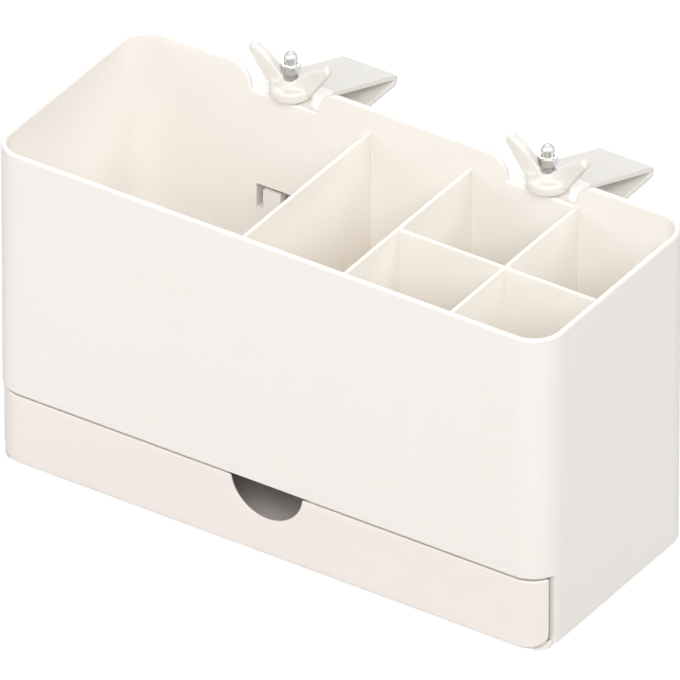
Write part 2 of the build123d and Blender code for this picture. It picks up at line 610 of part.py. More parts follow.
def wing_nut(x):
    """Round grip disc, two upswept wings and a pocket for the metal insert."""
    with BuildPart() as nut:
        for side in (-1, 1):
            with BuildSketch(upright(x, stud_y)):
                Polygon(
                    (side * WING_ROOT_IN, nut_z + WING_FOOT),
                    (side * WING_ROOT_IN, nut_z + WING_ROOT_TOP),
                    (side * WING_TOP_REACH, nut_z + WING_TOP_HEIGHT),
                    (side * WING_TIP_REACH, nut_z + WING_TIP_HEIGHT),
                    (side * WING_ROOT_OUT, nut_z + WING_FOOT_TOP),
                    (side * WING_FOOT_REACH, nut_z + WING_FOOT),
                    align=None,
                )
                fillet(vertices().sort_by(Axis.Y)[-2:], WING_TIP_RADIUS)
            extrude(amount=WING / 2, both=True)
        flanks = nut.faces().filter_by(Axis.Y)
        fillet(flanks.edges().filter_by(Axis.Z, reverse=True), WING_EDGE_ROUND)
        with BuildSketch(sideways(x, stud_y)):
            with Locations((0, nut_z)):
                Rectangle(DISC_RADIUS, DISC, align=Align.MIN)
            fillet(vertices().group_by(Axis.X)[-1], DISC_ROUND)
        revolve(axis=Axis((x, stud_y, 0), (0, 0, 1)))
        with BuildSketch(level(x, stud_y, nut_z)):
            Circle(HUB_RADIUS)
        extrude(amount=HUB_HEIGHT)
        with BuildSketch(level(x, stud_y, nut_z + INSERT_FOOT)):
            RegularPolygon(INSERT_FLATS / 2 + THREAD_FIT, 6, major_radius=False)
        extrude(amount=INSERT_HEX + THREAD_FIT, mode=Mode.SUBTRACT)
        with BuildSketch(level(x, stud_y, nut_z + INSERT_FOOT)):
            Circle(INSERT_RADIUS + THREAD_FIT)
        extrude(amount=INSERT_TOP, mode=Mode.SUBTRACT)
        with BuildSketch(level(x, stud_y, nut_z)):
            Circle(STUD_RADIUS + STUD_CLEARANCE)
        extrude(amount=INSERT_FOOT, mode=Mode.SUBTRACT)
    return nut.part


def nut_insert(x):
    """Metal nut with a collar, moulded into the wing nut."""
    with BuildPart() as insert:
        with BuildSketch(level(x, stud_y, nut_z + INSERT_FOOT)):
            RegularPolygon(INSERT_FLATS / 2, 6, major_radius=False)
        extrude(amount=INSERT_HEX)
        with BuildSketch(level(x, stud_y, nut_z + INSERT_FOOT)):
            Circle(INSERT_RADIUS)
        extrude(amount=INSERT_TOP - INSERT_FOOT)
        with BuildSketch(level(x, stud_y, nut_z + INSERT_FOOT)):
            Circle(STUD_RADIUS + RUN_FIT)
        extrude(amount=INSERT_TOP, mode=Mode.SUBTRACT)
    return insert.part


def clamp_bolt(x):
    """Screw with a hammer head that is held in the slider's pocket."""
    with BuildPart() as bolt:
        with BuildSketch(level(x, stud_y, slider_bottom)):
            Rectangle(HEAD_WIDTH, HEAD_DEPTH)
        extrude(amount=HEAD_HEIGHT)
        with BuildSketch(level(x, stud_y, slider_bottom)):
            Circle(STUD_RADIUS)
        extrude(amount=cap_z + CAP_THREAD - SEAT_FIT - slider_bottom)
    return bolt.part


def cap_nut(x):
    """Domed nut that stops the screw on the wing nut."""
    dome_z = cap_z + CAP_HEIGHT - CAP_DOME_RADIUS
    corner_radius = CAP_FLATS / 2 / cos(radians(30))
    corner_rise = CAP_CORNER * tan(radians(CAP_CORNER_SLOPE))
    with BuildPart() as cap:
        with BuildSketch(level(x, stud_y, cap_z)):
            RegularPolygon(CAP_FLATS / 2, 6, major_radius=False)
        extrude(amount=CAP_HEX)
        with BuildSketch(sideways(x, stud_y)):
            Polygon(
                (0, cap_z),
                (corner_radius - CAP_CORNER, cap_z),
                (corner_radius, cap_z + corner_rise),
                (corner_radius, cap_z + CAP_HEX - corner_rise),
                (corner_radius - CAP_CORNER, cap_z + CAP_HEX),
                (0, cap_z + CAP_HEX),
                align=None,
            )
        revolve(axis=Axis((x, stud_y, 0), (0, 0, 1)), mode=Mode.INTERSECT)
        with BuildSketch(level(x, stud_y, cap_z)):
            Circle(CAP_DOME_RADIUS)
        extrude(amount=dome_z - cap_z)
        with Locations((x, stud_y, dome_z)):
            Sphere(CAP_DOME_RADIUS)
        with BuildSketch(level(x, stud_y, cap_z)):
            Circle(STUD_RADIUS + THREAD_FIT)
        extrude(amount=CAP_THREAD, mode=Mode.SUBTRACT)
    return cap.part


def lower_jaw(x):
    """Slider in the spine's channel, with the arm that reaches under the desk."""
    slider_front = web_back + SLIDER_GAP
    slider_back = lip_front - SLIDER_GAP
    with BuildPart() as jaw:
        with BuildSketch(level(x, rear_y, slider_bottom)):
            with Locations((0, slider_front)):
                slider_size = (2 * (channel_half - SLIDER_GAP), slider_back - slider_front)
                Rectangle(*slider_size, align=(Align.CENTER, Align.MIN))
            with Locations((0, slider_front)):
                neck_size = (2 * (slot_half - SLIDER_GAP), lower_start + LOWER_ROOT - slider_front)
                Rectangle(*neck_size, align=(Align.CENTER, Align.MIN))
            with Locations((0, lower_start)):
                Rectangle(STRIP_WIDTH, LOWER_ROOT, align=(Align.CENTER, Align.MIN))
        extrude(amount=SLIDER_HEIGHT)
        with BuildSketch(level(x, rear_y, plate_top)):
            with Locations((0, lower_start)):
                Rectangle(STRIP_WIDTH, LOWER_REACH - lower_start, align=(Align.CENTER, Align.MIN))
            fillet(vertices().group_by(Axis.Y)[-1], LOWER_END_RADIUS)
        extrude(amount=-LOWER_PLATE)
        for side in (-1, 1):
            with BuildSketch(sideways(x + side * RIB_SPACING / 2, rear_y)):
                Polygon(
                    (lower_start, slider_bottom),
                    (lower_start + LOWER_ROOT, slider_bottom),
                    (LOWER_REACH - LOWER_END_RADIUS, plate_top - LOWER_PLATE - RIB_END),
                    (LOWER_REACH - LOWER_END_RADIUS, plate_top - PAST),
                    (lower_start, plate_top - PAST),
                    align=None,
                )
            extrude(amount=RIB / 2, both=True)
        # pocket for the screw's head and the open groove for its shank
        with BuildSketch(level(x, stud_y, slider_bottom)):
            Rectangle(HEAD_WIDTH + 2 * POCKET_FIT, HEAD_DEPTH + 2 * POCKET_FIT)
        extrude(amount=HEAD_HEIGHT, mode=Mode.SUBTRACT)
        with BuildSketch(level(x, stud_y, slider_bottom)):
            Circle(STUD_RADIUS + POCKET_FIT)
            Rectangle(2 * (STUD_RADIUS + POCKET_FIT), STUD_SETBACK, align=(Align.CENTER, Align.MAX))
        extrude(amount=SLIDER_HEIGHT, mode=Mode.SUBTRACT)
    return jaw.part


for side, clamp_x in clamp_places.items():
    save(clamp_bracket(clamp_x), f"{side}_clamp_bracket")
    save(flat_pad(clamp_x, jaw_z - PAD), f"{side}_upper_pad")
    save(washer(clamp_x), f"{side}_washer")
    save(wing_nut(clamp_x), f"{side}_wing_nut")
    save(nut_insert(clamp_x), f"{side}_nut_insert")
    save(clamp_bolt(clamp_x), f"{side}_clamp_bolt")
    save(cap_nut(clamp_x), f"{side}_cap_nut")
    save(lower_jaw(clamp_x), f"{side}_lower_jaw")
    save(flat_pad(clamp_x, plate_top), f"{side}_lower_pad")
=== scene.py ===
"""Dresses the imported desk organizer.

The box, its dividers, the plate, the drawer, the clamp brackets and the lower jaws keep their solids and
take moulded plastic. The wing nuts, cap nuts, screws and pads are built finer over theirs. A white studio
lights them for a camera with a very long lens.
"""

import logging
import math
from dataclasses import dataclass, field
from enum import Enum

import bmesh
import bpy
import numpy as np
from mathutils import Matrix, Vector


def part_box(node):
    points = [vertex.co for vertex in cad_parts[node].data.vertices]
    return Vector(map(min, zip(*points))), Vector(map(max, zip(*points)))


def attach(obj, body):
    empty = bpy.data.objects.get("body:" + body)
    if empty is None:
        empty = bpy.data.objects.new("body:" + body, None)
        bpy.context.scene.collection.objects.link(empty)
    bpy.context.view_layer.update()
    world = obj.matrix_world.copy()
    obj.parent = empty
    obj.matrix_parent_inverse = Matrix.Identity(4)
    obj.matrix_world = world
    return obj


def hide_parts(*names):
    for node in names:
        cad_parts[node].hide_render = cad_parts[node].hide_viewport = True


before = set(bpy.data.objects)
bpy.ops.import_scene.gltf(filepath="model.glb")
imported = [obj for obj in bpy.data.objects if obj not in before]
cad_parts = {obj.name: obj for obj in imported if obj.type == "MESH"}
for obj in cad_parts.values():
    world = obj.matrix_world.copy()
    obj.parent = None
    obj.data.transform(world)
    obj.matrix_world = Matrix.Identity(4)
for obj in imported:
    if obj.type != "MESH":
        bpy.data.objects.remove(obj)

log = logging.getLogger("organizer")

MM = 0.001
FULL_TURN = 2 * math.pi
HEX_SIDES = 6
WHITE = (1.0, 1.0, 1.0, 1.0)


class Side(Enum):
    """The two clamps, seen from the drawer's side."""

    LEFT = "left"
    RIGHT = "right"


# ---------------------------------------------------------------- colour and node helpers


def linear(red: int, green: int, blue: int) -> tuple[float, float, float, float]:
    """Turns a display colour into the linear colour that a shader takes.

    Args:
        red: display value from 0 to 255.
        green: display value from 0 to 255.
        blue: display value from 0 to 255.

    Returns:
        Linear red, green and blue, with an alpha of 1.
    """
    low_end, slope, offset, power, full = 0.04045, 12.92, 0.055, 2.4, 255

    def channel(value: int) -> float:
        """Decodes one channel."""
        share = value / full
        return share / slope if share <= low_end else ((share + offset) / (1 + offset)) ** power

    return (channel(red), channel(green), channel(blue), 1.0)


class Sheet:
    """A node tree that is filled by short calls."""

    def __init__(self, tree: bpy.types.NodeTree) -> None:
        """Keeps the tree to fill."""
        self.tree = tree

    def add(self, kind: str, **values: object) -> bpy.types.Node:
        """Adds a node.

        Args:
            kind: the node's type without its ShaderNode prefix, such as TexNoise.
            values: attributes of the node, or values of its inputs, with spaces written as underscores.

        Returns:
            The new node.
        """
        prefix = "" if kind.startswith("NodeGroup") else "ShaderNode"
        node = self.tree.nodes.new(prefix + kind)
        for name, value in values.items():
            if hasattr(node, name):
                setattr(node, name, value)
            else:
                node.inputs[name.replace("_", " ")].default_value = value
        return node

    def math(self, operation: str, first: object, second: object) -> bpy.types.NodeSocket:
        """Adds a Math node.

        Args:
            operation: its operation, such as MULTIPLY.
            first: a socket or a number.
            second: a socket or a number.

        Returns:
            Its output socket.
        """
        node = self.add("Math", operation=operation)
        for socket, value in zip(node.inputs, (first, second)):
            self.feed(socket, value)
        return node.outputs[0]

    def feed(self, socket: bpy.types.NodeSocket, value: object) -> None:
        """Links a socket to another, or sets it to a value.

        Args:
            socket: the input to feed.
            value: an output socket or a plain value.
        """
        if isinstance(value, bpy.types.NodeSocket):
            self.tree.links.new(value, socket)
        else:
            socket.default_value = value

    def place(self, group: bpy.types.NodeTree, **values: object) -> bpy.types.Node:
        """Places a shared effect.

        Args:
            group: the effect's node group.
            values: values of its inputs, with spaces written as underscores.

        Returns:
            The group's node.
        """
        node = self.tree.nodes.new("ShaderNodeGroup")
        node.node_tree = group
        for name, value in values.items():
            self.feed(node.inputs[name.replace("_", " ")], value)
        return node


def effect(name: str, inputs: dict[str, float], outputs: tuple[str, ...]) -> tuple[Sheet, dict, dict]:
    """Starts a shared effect with named inputs and outputs.

    Args:
        name: the group's name.
        inputs: each input's name and default number.
        outputs: each output's name.

    Returns:
        The group's sheet, its input sockets by name and its output sockets by name.
    """
    tree = bpy.data.node_groups.new(name, "ShaderNodeTree")
    for label, default in inputs.items():
        socket = tree.interface.new_socket(name=label, in_out="INPUT", socket_type="NodeSocketFloat")
        socket.default_value = default
    for label in outputs:
        tree.interface.new_socket(name=label, in_out="OUTPUT", socket_type="NodeSocketFloat")
    start = tree.nodes.new("NodeGroupInput").outputs
    end = tree.nodes.new("NodeGroupOutput").inputs
    return Sheet(tree), {s.name: s for s in start if s.name}, {s.name: s for s in end if s.name}


def moulded_grain() -> bpy.types.NodeTree:
    """The fine spark-eroded texture of a mould, over a slight unevenness where the plastic shrank.

    Returns:
        The effect, which puts out a height.
    """
    sheet, given, put = effect(
        "moulded_grain", {"Grain per metre": 1600.0, "Waves per metre": 40.0, "Waviness": 0.3}, ("Height",)
    )
    where = sheet.add("TexCoord").outputs["Object"]
    grain = sheet.add("TexNoise", Detail=2.0, Roughness=0.6)
    waves = sheet.add("TexNoise", Detail=1.0, Roughness=0.4)
    for noise, rate in ((grain, "Grain per metre"), (waves, "Waves per metre")):
        sheet.feed(noise.inputs["Vector"], where)
        sheet.feed(noise.inputs["Scale"], given[rate])
    swell = sheet.math("MULTIPLY", waves.outputs["Fac"], given["Waviness"])
    sheet.feed(put["Height"], sheet.math("ADD", grain.outputs["Fac"], swell))
    return sheet.tree


def handling() -> bpy.types.NodeTree:
    """Soft patches that are a little smoother, where hands have polished the surface.

    Returns:
        The effect, which puts out a mask.
    """
    sheet, given, put = effect(
        "handling", {"Patches per metre": 14.0, "Smears per metre": 90.0, "Amount": 0.5}, ("Mask",)
    )
    where = sheet.add("TexCoord").outputs["Object"]
    patches = sheet.add("TexNoise", Detail=3.0, Roughness=0.55)
    smears = sheet.add("TexNoise", Detail=2.0, Roughness=0.5, Distortion=1.5)
    for noise, rate in ((patches, "Patches per metre"), (smears, "Smears per metre")):
        sheet.feed(noise.inputs["Vector"], where)
        sheet.feed(noise.inputs["Scale"], given[rate])
    spread = sheet.add("MapRange", From_Min=0.38, From_Max=0.68)
    sheet.feed(spread.inputs["Value"], patches.outputs["Fac"])
    mixed = sheet.math("MULTIPLY", spread.outputs["Result"], smears.outputs["Fac"])
    sheet.feed(put["Mask"], sheet.math("MULTIPLY", mixed, given["Amount"]))
    return sheet.tree


def turned_lines() -> bpy.types.NodeTree:
    """Fine rings round the vertical, as a lathe or a rolled thread leaves them.

    Returns:
        The effect, which puts out a height and a mask of duller blotches.
    """
    sheet, given, put = effect(
        "turned_lines", {"Lines per metre": 9000.0, "Blotches per metre": 260.0}, ("Height", "Mask")
    )
    where = sheet.add("TexCoord").outputs["Object"]
    split = sheet.add("SeparateXYZ")
    sheet.feed(split.inputs[0], where)
    join = sheet.add("CombineXYZ")
    sheet.feed(join.inputs["Z"], split.outputs["Z"])
    lines = sheet.add("TexNoise", Detail=2.0)
    sheet.feed(lines.inputs["Vector"], join.outputs[0])
    sheet.feed(lines.inputs["Scale"], given["Lines per metre"])
    blotches = sheet.add("TexNoise", Detail=4.0, Roughness=0.65)
    sheet.feed(blotches.inputs["Vector"], where)
    sheet.feed(blotches.inputs["Scale"], given["Blotches per metre"])
    sheet.feed(put["Height"], lines.outputs["Fac"])
    sheet.feed(put["Mask"], blotches.outputs["Fac"])
    return sheet.tree


@dataclass(frozen=True)
class Effects:
    """The effects that several finishes share."""

    grain: bpy.types.NodeTree
    hands: bpy.types.NodeTree
    rings: bpy.types.NodeTree


# ---------------------------------------------------------------- finishes


def new_finish(name: str) -> tuple[bpy.types.Material, Sheet, bpy.types.Node]:
    """Starts a finish.

    Args:
        name: the material's name.

    Returns:
        The material, its sheet and its shader.
    """
    material = bpy.data.materials.new(name)
    material.use_nodes = True
    return material, Sheet(material.node_tree), material.node_tree.nodes["Principled BSDF"]


def feed_shader(
    sheet: Sheet,
    shader: bpy.types.Node,
    mask: bpy.types.NodeSocket,
    height: bpy.types.NodeSocket,
    colours: tuple[tuple[int, int, int], tuple[int, int, int]],
    roughness: tuple[float, float],
    relief: tuple[float, float],
) -> None:
    """Feeds a shader with a colour and a roughness that follow a mask, and with a fine relief.

    Args:
        sheet: the material's sheet.
        shader: its shader.
        mask: 0 where the surface is as new, and up to 1 where it has changed.
        height: the relief's height.
        colours: display colours, as new and changed.
        roughness: roughnesses, as new and changed.
        relief: the relief's strength, and its height in metres.
    """
    tint = sheet.add("Mix", data_type="RGBA")
    tint.inputs["A"].default_value = linear(*colours[0])
    tint.inputs["B"].default_value = linear(*colours[1])
    sheet.feed(tint.inputs["Factor"], mask)
    sheet.feed(shader.inputs["Base Color"], tint.outputs["Result"])
    gloss = sheet.add("MapRange", To_Min=roughness[0], To_Max=roughness[1])
    sheet.feed(gloss.inputs["Value"], mask)
    sheet.feed(shader.inputs["Roughness"], gloss.outputs["Result"])
    bump = sheet.add("Bump", Strength=relief[0], Distance=relief[1])
    sheet.feed(bump.inputs["Height"], height)
    sheet.feed(shader.inputs["Normal"], bump.outputs["Normal"])


@dataclass(frozen=True)
class MouldedPlastic:
    """Matte injection-moulded plastic."""

    name: str
    colour: tuple[int, int, int]
    worn_colour: tuple[int, int, int]
    roughness: float = 0.5
    polished: float = 0.38
    grain_per_metre: float = 1600.0
    grain_height: float = 0.02 * MM
    bump: float = 0.35
    specular: float = 0.4

    def build(self, effects: Effects) -> bpy.types.Material:
        """Builds the material.

        Args:
            effects: the shared effects.

        Returns:
            The plastic.
        """
        material, sheet, shader = new_finish(self.name)
        shader.inputs["Specular IOR Level"].default_value = self.specular
        grain = sheet.place(effects.grain, Grain_per_metre=self.grain_per_metre)
        hands = sheet.place(effects.hands)
        feed_shader(
            sheet,
            shader,
            mask=hands.outputs["Mask"],
            height=grain.outputs["Height"],
            colours=(self.colour, self.worn_colour),
            roughness=(self.roughness, self.polished),
            relief=(self.bump, self.grain_height),
        )
        return material


@dataclass(frozen=True)
class BareMetal:
    """Plated or polished metal with fine turned lines, whose tint at grazing angles can paint dark
    reflections at its edges.
    """

    name: str
    colour: tuple[int, int, int]
    dull_colour: tuple[int, int, int]
    roughness: float
    dull_roughness: float
    line_height: float = 0.004 * MM
    bump: float = 0.3
    # Below white, this tint darkens reflections at grazing angles: painted dark reflections where the white
    # studio has no dark surroundings. White paints none.
    painted_edge_reflection: tuple[int, int, int] = (255, 255, 255)

    def build(self, effects: Effects) -> bpy.types.Material:
        """Builds the material.

        Args:
            effects: the shared effects.

        Returns:
            The metal.
        """
        material, sheet, shader = new_finish(self.name)
        shader.inputs["Metallic"].default_value = 1.0
        shader.inputs["Specular Tint"].default_value = linear(*self.painted_edge_reflection)
        rings = sheet.place(effects.rings)
        feed_shader(
            sheet,
            shader,
            mask=rings.outputs["Mask"],
            height=rings.outputs["Height"],
            colours=(self.colour, self.dull_colour),
            roughness=(self.roughness, self.dull_roughness),
            relief=(self.bump, self.line_height),
        )
        return material


@dataclass(frozen=True)
class Finishes:
    """Every finish on the object, by the record's material slots."""

    shell: bpy.types.Material
    divider: bpy.types.Material
    drawer: bpy.types.Material
    clamp_plastic: bpy.types.Material
    pad_rubber: bpy.types.Material
    screw_metal: bpy.types.Material
    cap_chrome: bpy.types.Material


def make_finishes() -> Finishes:
    """Builds the shared effects and every finish that uses them.

    Returns:
        The finishes.
    """
    effects = Effects(moulded_grain(), handling(), turned_lines())
    plastics = {
        "shell": MouldedPlastic("shell_plastic", (251, 247, 242), (249, 244, 237)),
        "divider": MouldedPlastic("divider_plastic", (251, 247, 240), (249, 244, 235)),
        "drawer": MouldedPlastic("drawer_plastic", (252, 243, 238), (250, 240, 233)),
        "clamp_plastic": MouldedPlastic(
            "clamp_plastic", (240, 237, 231), (236, 232, 224), roughness=0.4, polished=0.3, specular=0.5
        ),
        "pad_rubber": MouldedPlastic(
            "pad_rubber",
            (214, 212, 206),
            (200, 197, 190),
            roughness=0.8,
            polished=0.65,
            bump=0.6,
            specular=0.25,
        ),
    }
    metals = {
        "screw_metal": BareMetal(
            "zinc_plate", (196, 198, 202), (168, 170, 175), roughness=0.26, dull_roughness=0.42
        ),
        "cap_chrome": BareMetal(
            "polished_cap",
            (232, 233, 235),
            (222, 223, 226),
            roughness=0.07,
            dull_roughness=0.14,
            bump=0.08,
            # A dark grazing tint: painted dark reflections on the dome's rim and the hexagon's side faces.
            painted_edge_reflection=(88, 89, 92),
        ),
    }
    return Finishes(**{slot: finish.build(effects) for slot, finish in {**plastics, **metals}.items()})


# ---------------------------------------------------------------- mesh helpers


def skin(name: str, rings: np.ndarray) -> bpy.types.Mesh:
    """Joins closed rings of points, one after the other, and caps both ends.

    Args:
        name: the mesh's name.
        rings: points in metres, as rings by points by three.

    Returns:
        A closed mesh with outward normals.
    """
    count, around = rings.shape[:2]
    index = np.arange(count * around).reshape(count, around)
    after = np.roll(index, -1, axis=1)
    quads = np.stack((index[:-1], after[:-1], after[1:], index[1:]), axis=-1).reshape(-1, 4)
    faces = [tuple(int(i) for i in q) for q in quads]
    faces.append(tuple(int(i) for i in index[0][::-1]))
    faces.append(tuple(int(i) for i in index[-1]))
    mesh = bpy.data.meshes.new(name)
    mesh.from_pydata([tuple(p) for p in rings.reshape(-1, 3)], [], faces)
    work = bmesh.new()
    work.from_mesh(mesh)
    bmesh.ops.recalc_face_normals(work, faces=work.faces)
    work.to_mesh(mesh)
    work.free()
    return mesh


def turned(centre: Vector, radius: np.ndarray, height: np.ndarray, turn: np.ndarray) -> np.ndarray:
    """Places rings of points round a vertical axis.

    Args:
        centre: the axis, with the height that the rings count from.
        radius: each point's distance from the axis, as rings by points or rings by one.
        height: each point's height over the centre, in the same way.
        turn: each point's angle round the axis, in radians.

    Returns:
        The points, as rings by points by three.
    """
    rings = np.empty((len(radius), len(turn), 3))
    rings[..., 0] = centre.x + radius * np.cos(turn)
    rings[..., 1] = centre.y + radius * np.sin(turn)
    rings[..., 2] = centre.z + height
    return rings


def lathe(name: str, profile: list[tuple[float, float]], centre: Vector, around: int = 96) -> bpy.types.Mesh:
    """Turns a profile round a vertical axis.

    Args:
        name: the mesh's name.
        profile: radius and height of each point, in metres, from the lower end to the upper.
        centre: the axis, with the height that the profile counts from.
        around: points in each ring.

    Returns:
        A closed mesh.
    """
    turn = np.linspace(0, FULL_TURN, around, endpoint=False)
    outline = np.array(profile)
    return skin(name, turned(centre, outline[:, :1], outline[:, 1:], turn))


def arc(
    centre: tuple[float, float], radius: float, start: float, end: float, steps: int = 8
) -> list[tuple[float, float]]:
    """Points along an arc in a flat profile.

    Args:
        centre: the arc's centre.
        radius: its radius.
        start: its first angle in degrees.
        end: its last angle in degrees.
        steps: how many spans it has.

    Returns:
        The points, both ends included.
    """
    angles = np.radians(np.linspace(start, end, steps + 1))
    return [(centre[0] + radius * math.cos(a), centre[1] + radius * math.sin(a)) for a in angles]


def rounded(
    corners: list[tuple[float, float]], radii: list[float], steps: int = 8
) -> list[tuple[float, float]]:
    """Rounds the corners of a closed flat outline.

    Args:
        corners: the outline's corners in order.
        radii: each corner's radius, where 0 keeps it sharp.
        steps: spans in each rounding.

    Returns:
        The points of the rounded outline.
    """
    points: list[tuple[float, float]] = []
    for i, (corner, radius) in enumerate(zip(corners, radii)):
        here = Vector(corner)
        back = (Vector(corners[i - 1]) - here).normalized()
        ahead = (Vector(corners[(i + 1) % len(corners)]) - here).normalized()
        if radius == 0:
            points.append(tuple(here))
            continue
        half = back.angle(ahead) / 2
        middle = here + (back + ahead).normalized() * (radius / math.sin(half))
        start = here + back * (radius / math.tan(half)) - middle
        end = here + ahead * (radius / math.tan(half)) - middle
        for step in range(steps + 1):
            share = step / steps
            blend = start.slerp(end, share) if start.length else start
            points.append(tuple(middle + blend.normalized() * radius))
    return points


def mitred_normals(outline: np.ndarray) -> np.ndarray:
    """Directions that move a closed flat outline outwards by an even distance.

    Args:
        outline: the outline's points, clockwise, as points by two.

    Returns:
        One vector for each point, longer than 1 where the outline turns.
    """
    ahead = np.roll(outline, -1, axis=0) - outline
    ahead /= np.linalg.norm(ahead, axis=1, keepdims=True)
    after = np.stack((-ahead[:, 1], ahead[:, 0]), axis=-1)
    before = np.roll(after, 1, axis=0)
    return (before + after) / (1 + (before * after).sum(axis=1, keepdims=True))


def show(name: str, mesh: bpy.types.Mesh) -> bpy.types.Object:
    """Puts a mesh into the scene.

    Args:
        name: the piece's name.
        mesh: its mesh.

    Returns:
        The piece.
    """
    piece = bpy.data.objects.new(name, mesh)
    bpy.context.scene.collection.objects.link(piece)
    return piece


def settle(piece: bpy.types.Object) -> None:
    """Applies the piece's modifiers to its mesh, so that none is left.

    Args:
        piece: the piece.
    """
    bpy.context.view_layer.update()
    graph = bpy.context.evaluated_depsgraph_get()
    mesh = bpy.data.meshes.new_from_object(piece.evaluated_get(graph))
    piece.modifiers.clear()
    old, piece.data = piece.data, mesh
    bpy.data.meshes.remove(old)


def joined(name: str, meshes: list[bpy.types.Mesh]) -> bpy.types.Object:
    """Joins meshes into one piece.

    Args:
        name: the piece's name.
        meshes: meshes in the shared frame, which are used up.

    Returns:
        The piece, in the scene.
    """
    work = bmesh.new()
    for mesh in meshes:
        work.from_mesh(mesh)
        bpy.data.meshes.remove(mesh)
    mesh = bpy.data.meshes.new(name)
    work.to_mesh(mesh)
    work.free()
    return show(name, mesh)


def cut(piece: bpy.types.Object, tool: bpy.types.Mesh) -> None:
    """Takes the tool's volume out of the piece.

    Args:
        piece: the piece.
        tool: a closed mesh, which is used up.
    """
    cutter = show("cutter", tool)
    step = piece.modifiers.new("bore", "BOOLEAN")
    step.operation = "DIFFERENCE"
    step.object = cutter
    step.solver = "EXACT"
    settle(piece)
    bpy.data.objects.remove(cutter)
    bpy.data.meshes.remove(tool)


def smooth_by_angle(piece: bpy.types.Object, degrees: float) -> None:
    """Shades a piece smooth, with sharp edges where its faces meet at more than an angle.

    Args:
        piece: the piece.
        degrees: the angle between the faces' normals.
    """
    mesh = piece.data
    mesh.shade_smooth()
    mesh.set_sharp_from_angle(angle=math.radians(degrees))


def paint(piece: bpy.types.Object, material: bpy.types.Material) -> None:
    """Gives a piece one material all over.

    Args:
        piece: the piece.
        material: its finish.
    """
    piece.data.materials.clear()
    piece.data.materials.append(material)
    for polygon in piece.data.polygons:
        polygon.material_index = 0


def carry_over(node: str, material: bpy.types.Material) -> None:
    """Gives a CAD node its finish in place of the plain one.

    Args:
        node: the node's name.
        material: its finish.
    """
    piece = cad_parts[node]
    for place in piece.material_slots:
        place.material = material
    if not piece.material_slots:
        piece.data.materials.append(material)
    log.info("%s keeps its solid and takes %s", node, material.name)


# ---------------------------------------------------------------- sub-assemblies


@dataclass
class Box:
    """The box with its dividers and the plate under it."""

    finishes: Finishes
    shell_nodes: tuple[str, ...] = ("box_shell", "base_plate")
    divider_nodes: tuple[str, ...] = (
        "cross_divider_left",
        "cross_divider_middle",
        "cross_divider_right",
        "long_divider",
    )

    def dress(self) -> None:
        """Finishes the moulded pieces and the screws."""
        for node in self.shell_nodes:
            carry_over(node, self.finishes.shell)
        for node in self.divider_nodes:
            carry_over(node, self.finishes.divider)
        carry_over("base_screws", self.finishes.screw_metal)


@dataclass
class Drawer:
    """The shallow drawer under the compartments."""

    finishes: Finishes

    def dress(self) -> None:
        """Finishes the drawer."""
        carry_over("drawer", self.finishes.drawer)


